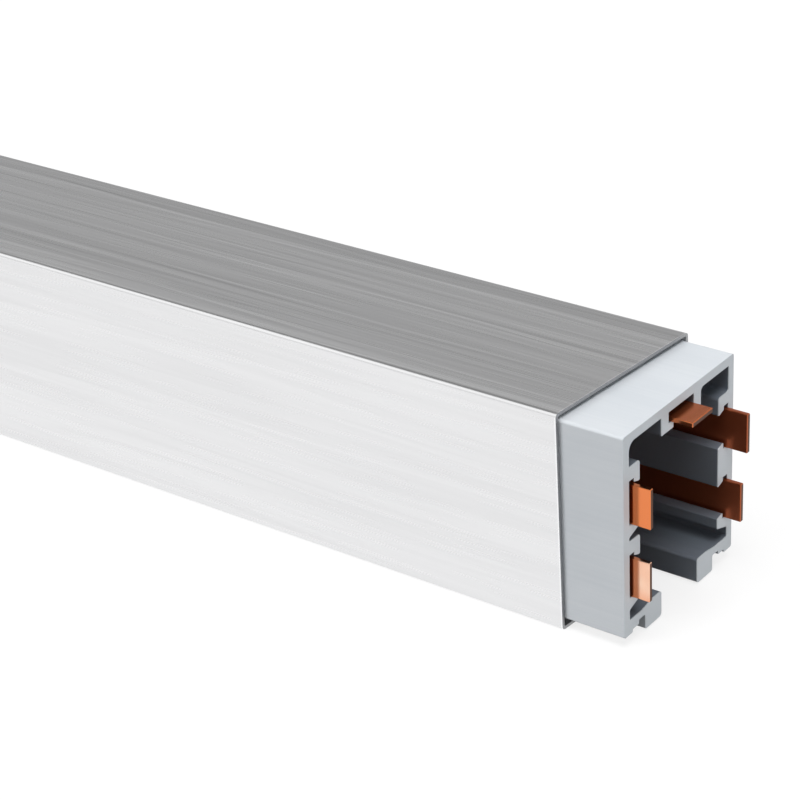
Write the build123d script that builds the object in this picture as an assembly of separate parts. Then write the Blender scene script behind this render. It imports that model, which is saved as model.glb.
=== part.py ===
from build123d import *
import math
import os

# Enclosed bus bar section: an aluminium casing, an insulating profile inside it that projects
# at both ends, and five flat copper conductors clipped inside the profile.
# +X runs along the bar, +Y to its back side, +Z up, the open slot faces down.
# The origin is on the ground under the middle of the bar.
# Depths count down from the top face of the profile.

# Insulating profile, the extruded section seen from its end
section_length = 1000.0       # the profile, end to end
profile_width = 70.8
wall = 3.4                    # side walls and top wall
top_edge_radius = 1.0
inner_corner_radius = 3.5     # front top corner of the channel
fine_radius = 0.2             # inside and outside corners of the notches
edge_radius = 0.4             # clip tips and groove edges
root_radius = 0.8             # where a shelf or flange meets the wall, and the feet

# Conductors, flat drawn copper strip
strip_height = 15.0           # the four side conductors
strip_thickness = 1.8
top_strip_width = 13.0
strip_edge_radius = 0.4
end_chamfer = 0.25            # the sheared ends are deburred
end_front_upper = 7.3         # how far each conductor projects past the profile
end_front_lower = 6.9
end_back_upper = 8.6
end_back_lower = 6.5
end_top = 8.2

# Side holders, each a notch for one conductor between an upper and a lower clip
top_pocket = 8.9              # free height between the top wall and the first front holder
cap_front = 5.1               # material above a front notch
cap_back = 4.4                # material above the upper back notch
head_room = 1.7               # free height above a conductor in its notch
notch_width = 3.0
clip_thickness = 3.6          # the hooked part in front of a conductor
clip_tip = 1.0                # flat end of an upper clip
clip_slope = 0.9              # the clip edges rise towards the wall by this much
clip_overlap_top = 0.6        # how far the upper clip covers the conductor
clip_overlap_bottom = 2.4     # how far the lower clip covers it
shelf_depth = 2.3             # material under the conductor, at the inner face
shelf_root = 4.4              # the same at the wall
ledge_radius = 1.2
middle_pocket = 1.6           # free height at the wall between the two front holders
bottom_pocket = 4.1           # free height at the wall under the lowest holders

# The two hooked hangers of the top conductor
top_notch_depth = 4.3         # from the top wall down to the seat of the conductor
top_notch_width = 16.2
top_notch_shift = 0.8         # the notch sits a little behind the middle
hanger_stem = 4.6
hanger_hook = 3.1
hanger_floor = 2.5            # material under the conductor
hanger_fillet = 1.8           # back root of the back hanger

# Bottom of the profile: flanges, slot lips, grooves and feet
slot_width = 23.6
flange_root = 4.4             # thickness of a flange at the wall
flange_rise = 1.0             # the flange top rises this much towards the slot
flange_level = 5.7            # width of the raised part, from the slot
flange_ramp = 7.0             # width of the slope beside it
lip_drop = 3.2                # the slot lips reach this far below the feet
lip_edge_radius = 1.4
foot_width = 5.2
foot_height = 1.2
foot_step = 4.0               # from the foot to the groove
groove_width = 3.9
groove_depth = 1.6

# Casing, bent aluminium sheet
sheet = 1.2
side_gap = 0.5                # between the sheet and the profile, each side
top_gap = 1.4                 # between the sheet and the top of the profile
ground_gap = 0.6              # the slot lips hang this far above the casing's underside
reveal = 21.2                 # the profile projects by this much at each end
end_slant = 5.6               # the +X end is sawn a little askew, further out at the back
end_lean = 1.0                # and further out at the bottom
bend_radius = 1.6             # outside of the bends
return_gap = 1.3              # from the slot lips to the turned-up edges of the casing

# Places that follow from the sizes above
half = profile_width / 2
wall_face = half - wall
clip_side = wall_face - notch_width
holder_face = clip_side - clip_thickness
upper_notch = wall + top_pocket + cap_front
upper_strip = upper_notch + head_room
middle_ledge = upper_strip + strip_height + shelf_root + middle_pocket
lower_strip = middle_ledge + cap_front + head_room
flange_depth = lower_strip + strip_height + shelf_root + bottom_pocket
step_depth = flange_depth + flange_root
groove_top = step_depth - groove_depth
foot_depth = step_depth + foot_height
lip_depth = foot_depth + lip_drop
ground_depth = lip_depth + ground_gap
top_seat = wall + top_notch_depth
slot_half = slot_width / 2
foot_inner = half - foot_width
groove_outer = foot_inner - foot_step
groove_inner = groove_outer - groove_width


def at(point):
    return Vector(0, point[0], ground_depth - point[1])


def toward(corner, neighbour):
    """Unit direction from a corner to its neighbour."""
    dy = neighbour[0] - corner[0]
    dz = neighbour[1] - corner[1]
    length = math.hypot(dy, dz)
    return dy / length, dz / length


def corner_points(before, corner, after):
    """Where the rounding of a corner starts, its middle and where it ends."""
    radius = corner[2]
    ay, az = toward(corner, before)
    by, bz = toward(corner, after)
    half_angle = math.acos(ay * by + az * bz) / 2
    cut = radius / math.tan(half_angle)
    reach = radius / math.sin(half_angle) - radius
    my, mz = toward((0, 0), (ay + by, az + bz))
    start = (corner[0] + ay * cut, corner[1] + az * cut)
    middle = (corner[0] + my * reach, corner[1] + mz * reach)
    end = (corner[0] + by * cut, corner[1] + bz * cut)
    return start, middle, end


def section(corners):
    """A closed section through (y, depth, radius) corners, straight between its roundings."""
    roundings = []
    for i, corner in enumerate(corners):
        after = corners[(i + 1) % len(corners)]
        if corner[2] > 0:
            roundings.append(corner_points(corners[i - 1], corner, after))
        else:
            roundings.append((corner[:2], None, corner[:2]))
    edges = []
    for i, (start, middle, end) in enumerate(roundings):
        following = roundings[(i + 1) % len(roundings)][0]
        if middle is not None:
            edges.append(ThreePointArc(at(start), at(middle), at(end)))
        edges.append(Line(at(end), at(following)))
    return Face(Wire(edges))


def extruded(face, start, end):
    return Solid.extrude(Pos(start, 0, 0) * face, Vector(end - start, 0, 0))


def upper_clip(side, strip_top):
    """The hooked edge over a side conductor, from the inner face round to the wall."""
    tip = strip_top + clip_overlap_top
    notch = strip_top - head_room
    return [
        (side * holder_face, tip, edge_radius),
        (side * (holder_face + clip_tip), tip, edge_radius),
        (side * clip_side, tip - clip_slope, fine_radius),
        (side * clip_side, notch, fine_radius),
        (side * wall_face, notch, fine_radius),
    ]


def lower_clip(side, strip_top):
    """The hooked shelf that a side conductor stands on, from the wall round to the inner face."""
    floor = strip_top + strip_height
    tip = floor - clip_overlap_bottom
    return [
        (side * wall_face, floor, fine_radius),
        (side * clip_side, floor, fine_radius),
        (side * clip_side, tip, fine_radius),
        (side * holder_face, tip + clip_slope, edge_radius),
    ]


def shelf_under(side, strip_top):
    """The sloped underside of a shelf, from the inner face back to the wall."""
    floor = strip_top + strip_height
    return [
        (side * holder_face, floor + shelf_depth, edge_radius),
        (side * wall_face, floor + shelf_root, root_radius),
    ]


def front_side():
    """Channel side with two separate pairs of clips and an open pocket between them."""
    first_ledge = upper_notch - cap_front
    corners = [
        (-wall_face, wall, inner_corner_radius),
        (-wall_face, first_ledge, edge_radius),
        (-holder_face, first_ledge, ledge_radius),
    ]
    corners += upper_clip(-1, upper_strip)
    corners += lower_clip(-1, upper_strip)
    corners += shelf_under(-1, upper_strip)
    corners += [
        (-wall_face, middle_ledge, edge_radius),
        (-holder_face, middle_ledge, ledge_radius),
    ]
    corners += upper_clip(-1, lower_strip)
    corners += lower_clip(-1, lower_strip)
    corners += shelf_under(-1, lower_strip)
    return corners


def back_side():
    """Channel side with one solid block between the two conductors."""
    ledge = upper_notch - cap_back
    corners = [
        (wall_face, wall, edge_radius),
        (wall_face, ledge, ledge_radius),
        (holder_face, ledge, ledge_radius),
    ]
    corners += upper_clip(1, upper_strip)
    corners += lower_clip(1, upper_strip)
    corners += upper_clip(1, lower_strip)
    corners += lower_clip(1, lower_strip)
    corners += shelf_under(1, lower_strip)
    return corners


def bottom_side(side):
    """Flange, slot lip, groove and foot of one side, from the channel wall to the outside."""
    raised = flange_depth - flange_rise
    level_end = slot_half + flange_level
    return [
        (side * wall_face, flange_depth, root_radius),
        (side * (level_end + flange_ramp), flange_depth, 0),
        (side * level_end, raised, 0),
        (side * slot_half, raised, ledge_radius),
        (side * slot_half, lip_depth, lip_edge_radius),
        (side * groove_inner, lip_depth, root_radius),
        (side * groove_inner, groove_top, edge_radius),
        (side * groove_outer, groove_top, edge_radius),
        (side * groove_outer, step_depth, edge_radius),
        (side * foot_inner, step_depth, edge_radius),
        (side * foot_inner, foot_depth, edge_radius),
        (side * half, foot_depth, root_radius),
    ]


def hanger(side, root_fillet):
    """One of the two hooked hangers under the top wall, from the notch to the side of its stem."""
    inner = top_notch_width / 2
    tip = inner - hanger_hook
    outer = inner + hanger_stem
    reach = top_seat + hanger_floor
    return [
        (top_notch_shift + side * inner, wall, fine_radius),
        (top_notch_shift + side * inner, top_seat, fine_radius),
        (top_notch_shift + side * tip, top_seat, edge_radius),
        (top_notch_shift + side * tip, reach, edge_radius),
        (top_notch_shift + side * outer, reach, edge_radius),
        (top_notch_shift + side * outer, wall, root_fillet),
    ]


def profile_section():
    corners = [(-half, 0, top_edge_radius), (half, 0, top_edge_radius)]
    corners += reversed(bottom_side(1))
    corners += reversed(back_side())
    corners += reversed(hanger(1, hanger_fillet))
    corners += hanger(-1, edge_radius)
    corners += front_side()
    corners += bottom_side(-1)
    return section(corners)


def casing_half(side):
    """One half of the bent sheet, from the top round to its turned-up edge and back inside."""
    outer = half + side_gap + sheet
    inner = outer - sheet
    top = -(top_gap + sheet)
    edge = groove_inner + return_gap
    inside_radius = bend_radius - sheet
    return [
        (side * outer, top, bend_radius),
        (side * outer, ground_depth, bend_radius),
        (side * edge, ground_depth, bend_radius),
        (side * edge, groove_top, fine_radius),
        (side * (edge + sheet), groove_top, fine_radius),
        (side * (edge + sheet), ground_depth - sheet, inside_radius),
        (side * inner, ground_depth - sheet, inside_radius),
        (side * inner, top + sheet, inside_radius),
    ]


def casing():
    """The bent sheet, square at the far end and sawn a little askew at the near one."""
    end = section_length / 2 - reveal
    width = profile_width + 2 * (side_gap + sheet)
    height = ground_depth + top_gap + sheet
    bar = extruded(section(casing_half(1) + list(reversed(casing_half(-1)))), -end, end + end_slant)
    saw_normal = (1, -end_slant / width, end_lean / height)
    saw_cut = Plane(origin=(end, 0, height / 2), z_dir=saw_normal)
    return bar.split(saw_cut, keep=Keep.BOTTOM)


def strip(height, projection):
    """Flat strip along X, standing on edge, with its long edges rounded and its ends deburred."""
    length = section_length + 2 * projection
    bar = Box(length, strip_thickness, height)
    bar = fillet(bar.edges().filter_by(Axis.X), strip_edge_radius)
    ends = bar.faces().filter_by(Axis.X)
    return chamfer(ends.edges(), end_chamfer).solid()


def side_conductor(middle_y, strip_top, projection):
    """A side conductor on its shelf, the middle of its thickness at middle_y."""
    middle = ground_depth - strip_top - strip_height / 2
    return Pos(0, middle_y, middle) * strip(strip_height, projection)


def top_conductor():
    middle = ground_depth - top_seat + strip_thickness / 2
    return Pos(0, top_notch_shift, middle) * Rot(90, 0, 0) * strip(top_strip_width, end_top)


# The front conductors lean on their clips, the back ones lie against the wall
front_strip = -clip_side - strip_thickness / 2
back_strip = wall_face - strip_thickness / 2

pieces = {
    "casing": casing(),
    "insulating_profile": extruded(profile_section(), -section_length / 2, section_length / 2),
    "conductor_top": top_conductor(),
    "conductor_front_upper": side_conductor(front_strip, upper_strip, end_front_upper),
    "conductor_front_lower": side_conductor(front_strip, lower_strip, end_front_lower),
    "conductor_back_upper": side_conductor(back_strip, upper_strip, end_back_upper),
    "conductor_back_lower": side_conductor(back_strip, lower_strip, end_back_lower),
}

os.makedirs("parts", exist_ok=True)
for node, solid in pieces.items():
    solid.label = node
    export_step(solid, "parts/" + node + ".step")
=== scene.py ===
import bpy
import bmesh
import math
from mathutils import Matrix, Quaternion, Vector


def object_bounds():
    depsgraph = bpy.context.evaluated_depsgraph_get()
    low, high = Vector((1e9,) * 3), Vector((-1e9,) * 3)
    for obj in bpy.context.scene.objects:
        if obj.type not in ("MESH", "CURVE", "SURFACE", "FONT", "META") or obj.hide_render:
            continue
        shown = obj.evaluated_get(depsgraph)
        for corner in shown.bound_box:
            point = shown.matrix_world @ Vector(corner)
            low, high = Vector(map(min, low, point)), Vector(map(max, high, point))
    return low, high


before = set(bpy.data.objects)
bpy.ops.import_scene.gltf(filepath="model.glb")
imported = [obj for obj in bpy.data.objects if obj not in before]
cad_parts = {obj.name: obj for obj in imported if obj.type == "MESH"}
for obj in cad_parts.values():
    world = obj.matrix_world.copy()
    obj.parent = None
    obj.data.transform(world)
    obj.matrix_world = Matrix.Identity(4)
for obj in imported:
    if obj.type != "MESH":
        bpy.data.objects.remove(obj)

cad_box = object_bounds()

# The camera stands where the photographer did: in front of the open end, a little above it,
# with a long lens. Angles are seen from the bar, in degrees; the roll is clockwise.
aim_point = Vector((0.4122, -0.0368, 0.0705))
aim_distance = 0.8288
camera_azimuth = math.radians(37.944)
camera_elevation = math.radians(27.503)
camera_roll = math.radians(3.187)
lens_mm = 110.06

toward_camera = Vector((
    math.sin(camera_azimuth) * math.cos(camera_elevation),
    -math.cos(camera_azimuth) * math.cos(camera_elevation),
    math.sin(camera_elevation),
))
camera_data = bpy.data.cameras.new("camera")
camera_data.lens = lens_mm
camera = bpy.data.objects.new("camera", camera_data)
camera.location = aim_point + toward_camera * aim_distance
camera.rotation_mode = "QUATERNION"
camera.rotation_quaternion = (
    toward_camera.to_track_quat("Z", "Y") @ Quaternion((0, 0, 1), -camera_roll)
)
bpy.context.collection.objects.link(camera)
bpy.context.scene.camera = camera
bpy.context.scene.view_settings.view_transform = "Standard"

# The studio floor is plain card. It shows white to the lens and in the metal, and throws
# little light back, so the inside of the bar keeps its depth. Under the bar it lies in the
# dark: for metal up to the open ends, and for the lens to 4 cm from them. In metres.
floor_half_width = 40.0
card_grey = "#7C7C7C"
card_lift = 0.79                  # glow that brings the grey card up to white
shaded_half_width = 0.030
lens_shade_ends = (0.38, 0.46)    # from the middle, where the dark under the bar starts
metal_shade_ends = (0.49, 0.50)   # to fade, and where it is gone


def linear(hex_colour):
    """sRGB hex to the linear RGBA that shader sockets take."""
    channels = []
    for start in (1, 3, 5):
        value = int(hex_colour[start:start + 2], 16) / 255
        channels.append(value / 12.92 if value <= 0.04045 else ((value + 0.055) / 1.055) ** 2.4)
    return (*channels, 1.0)


def add_node(tree, kind, inputs, **settings):
    """Adds a shader node. Each input is a value, or a socket of another node to link."""
    node = tree.nodes.new(kind)
    for name, value in settings.items():
        setattr(node, name, value)
    for name, value in inputs.items():
        if isinstance(value, bpy.types.NodeSocket):
            tree.links.new(value, node.inputs[name])
        else:
            node.inputs[name].default_value = value
    return node


floor_mesh = bpy.data.meshes.new("floor")
form = bmesh.new()
bmesh.ops.create_grid(form, x_segments=1, y_segments=1, size=floor_half_width)
form.to_mesh(floor_mesh)
form.free()
floor = bpy.data.objects.new("floor", floor_mesh)
bpy.context.collection.objects.link(floor)

card = bpy.data.materials.new("matt_card")
card.use_nodes = True
tree = card.node_tree
tree.nodes.clear()
rays = add_node(tree, "ShaderNodeLightPath", {})
place = add_node(tree, "ShaderNodeSeparateXYZ", {
    0: add_node(tree, "ShaderNodeTexCoord", {}).outputs["Object"],
})
sideways = add_node(tree, "ShaderNodeMath", {0: place.outputs[1]}, operation="ABSOLUTE")
beside = add_node(tree, "ShaderNodeMath", {
    0: sideways.outputs[0],
    1: shaded_half_width,
}, operation="GREATER_THAN")
lengthways = add_node(tree, "ShaderNodeMath", {0: place.outputs[0]}, operation="ABSOLUTE")
for_lens, for_metal = [
    add_node(tree, "ShaderNodeMath", {
        0: rays.outputs[ray],
        1: add_node(tree, "ShaderNodeMath", {
            0: beside.outputs[0],
            1: add_node(tree, "ShaderNodeMapRange", {
                0: lengthways.outputs[0],
                1: shade_ends[0],
                2: shade_ends[1],
            }).outputs[0],
        }, operation="MAXIMUM").outputs[0],
    }, operation="MULTIPLY")
    for ray, shade_ends in (
        ("Is Camera Ray", lens_shade_ends),
        ("Is Glossy Ray", metal_shade_ends),
    )
]
seen = add_node(tree, "ShaderNodeMath", {
    0: for_lens.outputs[0],
    1: for_metal.outputs[0],
}, operation="MAXIMUM")
lift = add_node(tree, "ShaderNodeMath", {0: seen.outputs[0], 1: card_lift}, operation="MULTIPLY")
matt = add_node(tree, "ShaderNodeBsdfDiffuse", {"Color": linear(card_grey)})
glow = add_node(tree, "ShaderNodeEmission", {"Strength": lift.outputs[0]})
both = add_node(tree, "ShaderNodeAddShader", {0: matt.outputs[0], 1: glow.outputs[0]})
add_node(tree, "ShaderNodeOutputMaterial", {"Surface": both.outputs[0]})
floor_mesh.materials.append(card)

# Soft studio light. Wide lights hang overhead, to the front left and behind, and narrow ones
# face the two ends, so that they light the cut faces and hardly the channel. The metal shows
# only the room: pale low down, darker higher up, with a bright window and a grey ceiling.
room_matt = "#595959"         # what the room itself adds to matt surfaces
room_low = "#FCFCFC"
room_high = "#848484"
window_white = "#FFFFFF"
window_place = Vector((-0.545, -0.462, 0.699))
window_outside = 0.80         # cosines of the angles from its middle
window_inside = 0.96
ceiling_grey = "#C4C4C4"
ceiling_start = 0.84          # heights on a ball of radius 1 round the bar
ceiling_full = 0.98
room_slope = Vector((-0.358, 0.0, 1.0))
walls_dark_from = 0.85
lights = (                    # name, strength, width in degrees, where it stands
    ("overhead", 2.40, 40, Vector((0.12, -0.22, 1.0))),
    ("front_left", 1.75, 40, Vector((-0.50, -0.85, 0.45))),
    ("behind", 1.10, 40, Vector((-0.25, 0.90, 0.45))),
    ("open_end", 1.35, 16, Vector((1.0, -0.04, 0.10))),
    ("far_end", 0.80, 16, Vector((-1.0, 0.0, 0.12))),
)

world = bpy.data.worlds.new("room")
world.use_nodes = True
tree = world.node_tree
rays = add_node(tree, "ShaderNodeLightPath", {})
outward = add_node(tree, "ShaderNodeTexCoord", {}).outputs["Generated"]
height = add_node(tree, "ShaderNodeVectorMath", {
    0: outward,
    1: room_slope,
}, operation="DOT_PRODUCT")
height_part = add_node(tree, "ShaderNodeMapRange", {
    0: height.outputs["Value"],
    2: walls_dark_from,
})
walls = add_node(tree, "ShaderNodeMix", {
    0: height_part.outputs[0],
    6: linear(room_low),
    7: linear(room_high),
}, data_type="RGBA")
nearness = add_node(tree, "ShaderNodeVectorMath", {
    0: outward,
    1: window_place,
}, operation="DOT_PRODUCT")
window = add_node(tree, "ShaderNodeMapRange", {
    0: nearness.outputs["Value"],
    1: window_outside,
    2: window_inside,
}, interpolation_type="SMOOTHSTEP")
direction = add_node(tree, "ShaderNodeSeparateXYZ", {0: outward})
overhead_part = add_node(tree, "ShaderNodeMapRange", {
    0: direction.outputs[2],
    1: ceiling_start,
    2: ceiling_full,
}, interpolation_type="SMOOTHSTEP")
ceiling = add_node(tree, "ShaderNodeMix", {
    0: overhead_part.outputs[0],
    6: walls.outputs[2],
    7: linear(ceiling_grey),
}, data_type="RGBA")
mirrored = add_node(tree, "ShaderNodeMix", {
    0: window.outputs[0],
    6: ceiling.outputs[2],
    7: linear(window_white),
}, data_type="RGBA")
lit = add_node(tree, "ShaderNodeMix", {
    0: rays.outputs["Is Glossy Ray"],
    6: linear(room_matt),
    7: mirrored.outputs[2],
}, data_type="RGBA")
room = add_node(tree, "ShaderNodeMix", {
    0: rays.outputs["Is Camera Ray"],
    6: lit.outputs[2],
    7: linear(window_white),
}, data_type="RGBA")
tree.links.new(room.outputs[2], tree.nodes["Background"].inputs["Color"])
bpy.context.scene.world = world
for name, strength, spread, source in lights:
    lamp = bpy.data.lights.new(name, "SUN")
    lamp.energy = strength
    lamp.angle = math.radians(spread)
    light = bpy.data.objects.new(name, lamp)
    light.rotation_mode = "QUATERNION"
    light.rotation_quaternion = source.to_track_quat("Z", "Y")
    light.visible_glossy = False
    bpy.context.collection.objects.link(light)

# The casing is aluminium sheet, linished along its length and bent round the profile to an
# inverted U. The belt left bands, streaks and scratches along it, and a painted highlight
# lies along the upper bends and the rims beside the cut ends.
# Real scratches are about 0.1 mm wide and are drawn 0.9 mm wide, so that they show.
mm = 0.001
band_size = (1400 * mm, 9 * mm, 9 * mm)
streak_size = (130 * mm, 4.2 * mm, 4.2 * mm)
scratch_size = (40 * mm, 0.9 * mm, 0.9 * mm)
grain_shift = (0.57, 2.31, 0.93)
streak_share = 0.34           # of streaks among bands
scratch_share = 0.02          # of scratches in the relief
grain_depth = 0.56 * mm
noise_low = 0.35              # most of a noise pattern lies between these two
noise_high = 0.65
sheet_light = "#E9E9EA"
sheet_dark = "#E4E4E5"
# sawn faces: grey, darkened further as painted shade of the gap beside them
sawn_grey_and_gap_shade = "#A6A7A9"
square_on = 0.9               # a face turned this far along the bar is a cut one
painted_highlight = "#FAFAFB"         # painted highlight on the upper bends and the rims beside the cuts
belt_rough = 0.31
belt_smooth = 0.27
dull_roughness = 0.5
saw_normal = Vector((1.0, -0.0755, 0.0121))   # of the askew cut at the end in view
near_rim_from = 478.8 * mm    # along that normal
far_rim_from = -478.3 * mm
bend_height = 81.3 * mm       # the sheet's top lies at 82.4 mm
bend_half_width = 36.3 * mm   # and its sides at 37.1 mm
mill_half_width = 36.5 * mm   # the inside of the sheet, left as it came from the mill
mill_bottom = 0.6 * mm
mill_top = 81.8 * mm
edge_rise_from = 27.5 * mm    # the sheet swells a little towards its bends
edge_rise = 0.32 * mm
side_at = cad_box[1][1]

aluminium = bpy.data.materials.new("linished_aluminium")
aluminium.use_nodes = True
tree = aluminium.node_tree
surface = tree.nodes["Principled BSDF"]
spot = add_node(tree, "ShaderNodeTexCoord", {}).outputs["Object"]
bands, streaks, scratches = [
    add_node(tree, "ShaderNodeTexNoise", {
        "Vector": add_node(tree, "ShaderNodeMapping", {
            "Vector": spot,
            "Location": grain_shift,
            "Scale": [1 / width for width in size],
        }).outputs[0],
        "Scale": 1.0,
        "Detail": detail,
        "Distortion": waviness,
    }).outputs[0]
    for size, detail, waviness in (
        (band_size, 1.0, 0.0),
        (streak_size, 1.6, 0.8),
        (scratch_size, 1.0, 0.0),
    )
]
facing = add_node(tree, "ShaderNodeSeparateXYZ", {
    0: add_node(tree, "ShaderNodeTexCoord", {}).outputs["Normal"],
})
endwise = add_node(tree, "ShaderNodeMath", {0: facing.outputs[0]}, operation="ABSOLUTE")
cut = add_node(tree, "ShaderNodeMath", {
    0: endwise.outputs[0],
    1: square_on,
}, operation="GREATER_THAN")
coarse = add_node(tree, "ShaderNodeMix", {0: streak_share, 2: bands, 3: streaks})
grain = add_node(tree, "ShaderNodeMix", {0: scratch_share, 2: coarse.outputs[0], 3: scratches})
tone = add_node(tree, "ShaderNodeMapRange", {0: streaks, 1: noise_low, 2: noise_high})
belt_colour = add_node(tree, "ShaderNodeMix", {
    0: tone.outputs[0],
    6: linear(sheet_dark),
    7: linear(sheet_light),
}, data_type="RGBA")
near_place = add_node(tree, "ShaderNodeVectorMath", {
    0: spot,
    1: saw_normal,
}, operation="DOT_PRODUCT")
near_rim = add_node(tree, "ShaderNodeMath", {
    0: near_place.outputs["Value"],
    1: near_rim_from,
}, operation="GREATER_THAN")
axes = add_node(tree, "ShaderNodeSeparateXYZ", {0: spot})
far_rim = add_node(tree, "ShaderNodeMath", {
    0: axes.outputs[0],
    1: far_rim_from,
}, operation="LESS_THAN")
off_centre = add_node(tree, "ShaderNodeMath", {0: axes.outputs[1]}, operation="ABSOLUTE")
high = add_node(tree, "ShaderNodeMath", {
    0: axes.outputs[2],
    1: bend_height,
}, operation="GREATER_THAN")
outmost = add_node(tree, "ShaderNodeMath", {
    0: off_centre.outputs[0],
    1: bend_half_width,
}, operation="GREATER_THAN")
bend = add_node(tree, "ShaderNodeMath", {
    0: high.outputs[0],
    1: outmost.outputs[0],
}, operation="MULTIPLY")
either_rim = add_node(tree, "ShaderNodeMath", {
    0: near_rim.outputs[0],
    1: far_rim.outputs[0],
}, operation="MAXIMUM")
# painted highlight: the upper bends and the rims beside the cut ends are drawn near-white
highlighted_place = add_node(tree, "ShaderNodeMath", {
    0: either_rim.outputs[0],
    1: bend.outputs[0],
}, operation="MAXIMUM")
face_colour = add_node(tree, "ShaderNodeMix", {
    0: highlighted_place.outputs[0],
    6: belt_colour.outputs[2],
    7: linear(painted_highlight),
}, data_type="RGBA")
sheet_colour = add_node(tree, "ShaderNodeMix", {
    0: cut.outputs[0],
    6: face_colour.outputs[2],
    7: linear(sawn_grey_and_gap_shade),
}, data_type="RGBA")
belt_sheen = add_node(tree, "ShaderNodeMapRange", {
    0: scratches,
    1: noise_low,
    2: noise_high,
    3: belt_rough,
    4: belt_smooth,
})
between_sides, over_lip, under_roof = [
    add_node(tree, "ShaderNodeMath", {0: distance, 1: limit}, operation=comparison).outputs[0]
    for distance, limit, comparison in (
        (off_centre.outputs[0], mill_half_width, "LESS_THAN"),
        (axes.outputs[2], mill_bottom, "GREATER_THAN"),
        (axes.outputs[2], mill_top, "LESS_THAN"),
    )
]
mill_level = add_node(tree, "ShaderNodeMath", {
    0: over_lip,
    1: under_roof,
}, operation="MULTIPLY")
mill_face = add_node(tree, "ShaderNodeMath", {
    0: between_sides,
    1: mill_level.outputs[0],
}, operation="MULTIPLY")
dull = add_node(tree, "ShaderNodeMath", {
    0: cut.outputs[0],
    1: mill_face.outputs[0],
}, operation="MAXIMUM")
sheen = add_node(tree, "ShaderNodeMix", {
    0: dull.outputs[0],
    2: belt_sheen.outputs[0],
    3: dull_roughness,
})
rise = add_node(tree, "ShaderNodeMapRange", {
    0: off_centre.outputs[0],
    1: edge_rise_from,
    2: side_at,
    4: edge_rise,
})
bent_form = add_node(tree, "ShaderNodeBump", {
    "Height": rise.outputs[0],
    "Strength": 1.0,
    "Distance": 1.0,
})
relief = add_node(tree, "ShaderNodeBump", {
    "Height": grain.outputs[0],
    "Strength": 1.0,
    "Distance": grain_depth,
    "Normal": bent_form.outputs[0],
})
tree.links.new(sheet_colour.outputs[2], surface.inputs["Base Color"])
tree.links.new(sheen.outputs[0], surface.inputs["Roughness"])
tree.links.new(relief.outputs[0], surface.inputs["Normal"])
surface.inputs["Metallic"].default_value = 1.0
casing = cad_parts["casing"]
casing.data.materials.clear()
casing.data.materials.append(aluminium)

# The profile is rigid PVC, extruded in pale blue-grey. Its outside took a satin skin in the
# sizing die, with faint die lines along it. The inside and the cheeks of the slot are painted
# darker, as painted shade of the channel, and the sawn ends are paler, with the marks of the
# blade.
pvc_skin = "#CFD3D7"
pvc_shade = "#C6CBD0"
pvc_inside_painted_shade = "#777F89"
pvc_sawn = "#C8CED3"
die_line_size = (600 * mm, 1.4 * mm, 1.4 * mm)
cloud_size = (45 * mm, 18 * mm, 18 * mm)
saw_mark_size = (3 * mm, 14 * mm, 0.8 * mm)
sawn_from = 499.7 * mm        # the end faces lie at 500 mm
line_share = 0.4              # of die lines among the clouds of the skin
line_strength = 0.3
line_depth = 0.06 * mm
satin_smooth = 0.42
satin_rough = 0.52
fine_low = 0.3                # of the pattern that the roughness follows
fine_high = 0.7
inside_half_width = 32.6 * mm
inside_top = 76.9 * mm
inside_floor = 8.9 * mm
slot_half_width = 11.9 * mm   # the cheeks lie at 11.8 mm

pvc = bpy.data.materials.new("extruded_rigid_pvc")
pvc.use_nodes = True
tree = pvc.node_tree
surface = tree.nodes["Principled BSDF"]
spot = add_node(tree, "ShaderNodeTexCoord", {}).outputs["Object"]
die_lines, clouds, saw_marks = [
    add_node(tree, "ShaderNodeTexNoise", {
        "Vector": add_node(tree, "ShaderNodeMapping", {
            "Vector": spot,
            "Scale": [1 / width for width in size],
        }).outputs[0],
        "Scale": 1.0,
        "Detail": 2.0,
    }).outputs[0]
    for size in (die_line_size, cloud_size, saw_mark_size)
]
parts = add_node(tree, "ShaderNodeSeparateXYZ", {0: spot})
along = add_node(tree, "ShaderNodeMath", {0: parts.outputs[0]}, operation="ABSOLUTE")
across = add_node(tree, "ShaderNodeMath", {0: parts.outputs[1]}, operation="ABSOLUTE")
sawn = add_node(tree, "ShaderNodeMath", {
    0: along.outputs[0],
    1: sawn_from,
}, operation="GREATER_THAN")
between_walls = add_node(tree, "ShaderNodeMath", {
    0: across.outputs[0],
    1: inside_half_width,
}, operation="LESS_THAN")
under_top = add_node(tree, "ShaderNodeMath", {
    0: parts.outputs[2],
    1: inside_top,
}, operation="LESS_THAN")
over_floor = add_node(tree, "ShaderNodeMath", {
    0: parts.outputs[2],
    1: inside_floor,
}, operation="GREATER_THAN")
in_slot = add_node(tree, "ShaderNodeMath", {
    0: across.outputs[0],
    1: slot_half_width,
}, operation="LESS_THAN")
in_channel = add_node(tree, "ShaderNodeMath", {
    0: over_floor.outputs[0],
    1: between_walls.outputs[0],
}, operation="MULTIPLY")
in_either = add_node(tree, "ShaderNodeMath", {
    0: in_channel.outputs[0],
    1: in_slot.outputs[0],
}, operation="MAXIMUM")
painted_shade_place = add_node(tree, "ShaderNodeMath", {
    0: under_top.outputs[0],
    1: in_either.outputs[0],
}, operation="MULTIPLY")
skin_tone = add_node(tree, "ShaderNodeMix", {0: line_share, 2: clouds, 3: die_lines})
skin_range = add_node(tree, "ShaderNodeMapRange", {
    0: skin_tone.outputs[0],
    1: noise_low,
    2: noise_high,
})
skin_colour = add_node(tree, "ShaderNodeMix", {
    0: skin_range.outputs[0],
    6: linear(pvc_shade),
    7: linear(pvc_skin),
}, data_type="RGBA")
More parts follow.
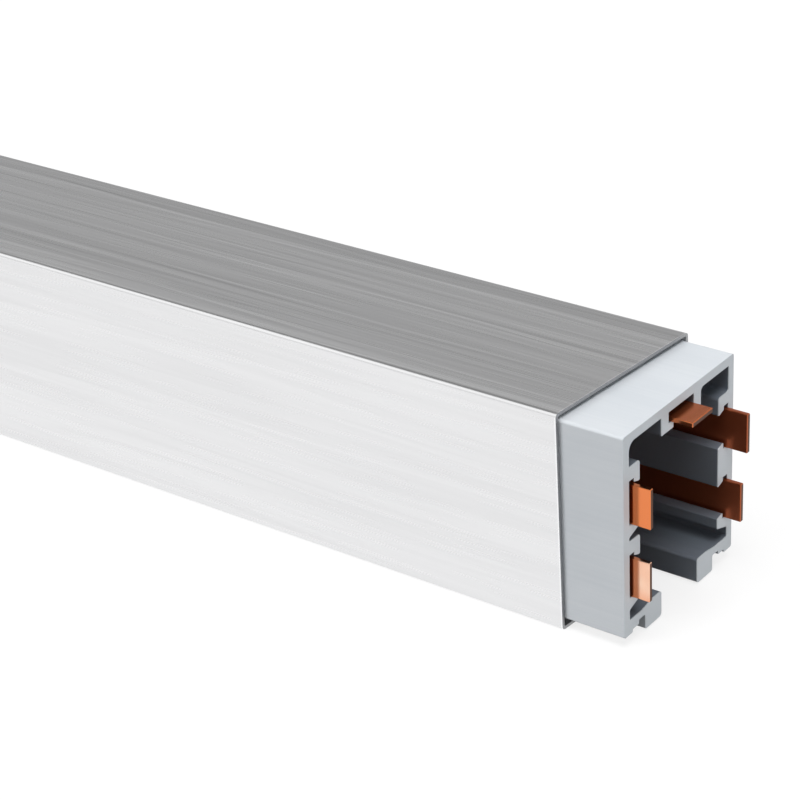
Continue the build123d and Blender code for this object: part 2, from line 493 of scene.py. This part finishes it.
# painted shade: the channel and the cheeks of the slot take a darker grey
wall_colour = add_node(tree, "ShaderNodeMix", {
    0: painted_shade_place.outputs[0],
    6: skin_colour.outputs[2],
    7: linear(pvc_inside_painted_shade),
}, data_type="RGBA")
pvc_colour = add_node(tree, "ShaderNodeMix", {
    0: sawn.outputs[0],
    6: wall_colour.outputs[2],
    7: linear(pvc_sawn),
}, data_type="RGBA")
texture = add_node(tree, "ShaderNodeMix", {0: sawn.outputs[0], 2: die_lines, 3: saw_marks})
relief = add_node(tree, "ShaderNodeBump", {
    "Height": texture.outputs[0],
    "Strength": line_strength,
    "Distance": line_depth,
})
satin = add_node(tree, "ShaderNodeMapRange", {
    0: texture.outputs[0],
    1: fine_low,
    2: fine_high,
    3: satin_smooth,
    4: satin_rough,
})
tree.links.new(pvc_colour.outputs[2], surface.inputs["Base Color"])
tree.links.new(satin.outputs[0], surface.inputs["Roughness"])
tree.links.new(relief.outputs[0], surface.inputs["Normal"])
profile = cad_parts["insulating_profile"]
profile.data.materials.clear()
profile.data.materials.append(pvc)

# The conductors are drawn copper strip, held in the clips of the profile. Air gave them an
# orange-brown film, darker, redder and duller towards the back of the channel, and in patches
# the metal is pale. Past the end of the profile the pale patches come in full, as painted light
# on the tips. The sheared ends are brown and rough.
copper_film = "#E58552"
copper_pale_and_lit = "#FBDCC4"
copper_back = "#B8623F"
copper_sheared = "#5E3F30"
draw_line_size = (110 * mm, 0.8 * mm, 0.8 * mm)   # the real ones are too fine to show
draw_line_strength = 0.1
draw_line_depth = 0.04 * mm
drawn_smooth = 0.14
drawn_rough = 0.20
film_size = (60 * mm, 26 * mm, 26 * mm)
film_shift = (5.7, 2.1, 2.5)
patch_from = 0.45
patch_full = 0.65
lit_tip_from = 502.2 * mm      # past the end of the profile, at 500 mm
lit_tip_full = 503.4 * mm
pale_share_inside = 0.15          # share of the pale patches that is left further in
back_from = -26 * mm       # across the bar, from front to back
back_full = 28 * mm
back_roughness = 0.32
back_metallic = 0.80

copper = bpy.data.materials.new("drawn_copper")
copper.use_nodes = True
tree = copper.node_tree
surface = tree.nodes["Principled BSDF"]
spot = add_node(tree, "ShaderNodeTexCoord", {}).outputs["Object"]
draw_lines, film = [
    add_node(tree, "ShaderNodeTexNoise", {
        "Vector": add_node(tree, "ShaderNodeMapping", {
            "Vector": spot,
            "Location": shift,
            "Scale": [1 / width for width in size],
        }).outputs[0],
        "Scale": 1.0,
        "Detail": 2.0,
    }).outputs[0]
    for size, shift in ((draw_line_size, (0.0, 0.0, 0.0)), (film_size, film_shift))
]
facing = add_node(tree, "ShaderNodeSeparateXYZ", {
    0: add_node(tree, "ShaderNodeTexCoord", {}).outputs["Normal"],
})
endwise = add_node(tree, "ShaderNodeMath", {0: facing.outputs[0]}, operation="ABSOLUTE")
sheared = add_node(tree, "ShaderNodeMath", {
    0: endwise.outputs[0],
    1: square_on,
}, operation="GREATER_THAN")
patch = add_node(tree, "ShaderNodeMapRange", {0: film, 1: patch_from, 2: patch_full})
axes = add_node(tree, "ShaderNodeSeparateXYZ", {0: spot})
along = add_node(tree, "ShaderNodeMath", {0: axes.outputs[0]}, operation="ABSOLUTE")
# painted light on the tips: past the profile's end the pale patches come in full
lit_tip = add_node(tree, "ShaderNodeMapRange", {
    0: along.outputs[0],
    1: lit_tip_from,
    2: lit_tip_full,
    3: pale_share_inside,
    4: 1.0,
})
pale_and_lit = add_node(tree, "ShaderNodeMath", {
    0: patch.outputs[0],
    1: lit_tip.outputs[0],
}, operation="MULTIPLY")
drawn_colour = add_node(tree, "ShaderNodeMix", {
    0: pale_and_lit.outputs[0],
    6: linear(copper_film),
    7: linear(copper_pale_and_lit),
}, data_type="RGBA")
# darker, redder and duller towards the back of the channel
toward_back = add_node(tree, "ShaderNodeMapRange", {
    0: axes.outputs[1],
    1: back_from,
    2: back_full,
})
face_colour = add_node(tree, "ShaderNodeMix", {
    0: toward_back.outputs[0],
    6: drawn_colour.outputs[2],
    7: linear(copper_back),
}, data_type="RGBA")
copper_colour = add_node(tree, "ShaderNodeMix", {
    0: sheared.outputs[0],
    6: face_colour.outputs[2],
    7: linear(copper_sheared),
}, data_type="RGBA")
drawn_gloss = add_node(tree, "ShaderNodeMapRange", {
    0: draw_lines,
    1: fine_low,
    2: fine_high,
    3: drawn_smooth,
    4: drawn_rough,
})
face_gloss = add_node(tree, "ShaderNodeMix", {
    0: toward_back.outputs[0],
    2: drawn_gloss.outputs[0],
    3: back_roughness,
})
gloss = add_node(tree, "ShaderNodeMix", {
    0: sheared.outputs[0],
    2: face_gloss.outputs[0],
    3: dull_roughness,
})
metal_part = add_node(tree, "ShaderNodeMapRange", {
    0: toward_back.outputs[0],
    3: 1.0,
    4: back_metallic,
})
relief = add_node(tree, "ShaderNodeBump", {
    "Height": draw_lines,
    "Strength": draw_line_strength,
    "Distance": draw_line_depth,
})
tree.links.new(copper_colour.outputs[2], surface.inputs["Base Color"])
tree.links.new(gloss.outputs[0], surface.inputs["Roughness"])
tree.links.new(relief.outputs[0], surface.inputs["Normal"])
tree.links.new(metal_part.outputs[0], surface.inputs["Metallic"])
for name in (
    "conductor_top",
    "conductor_front_upper",
    "conductor_front_lower",
    "conductor_back_upper",
    "conductor_back_lower",
):
    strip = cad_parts[name]
    strip.data.materials.clear()
    strip.data.materials.append(copper)
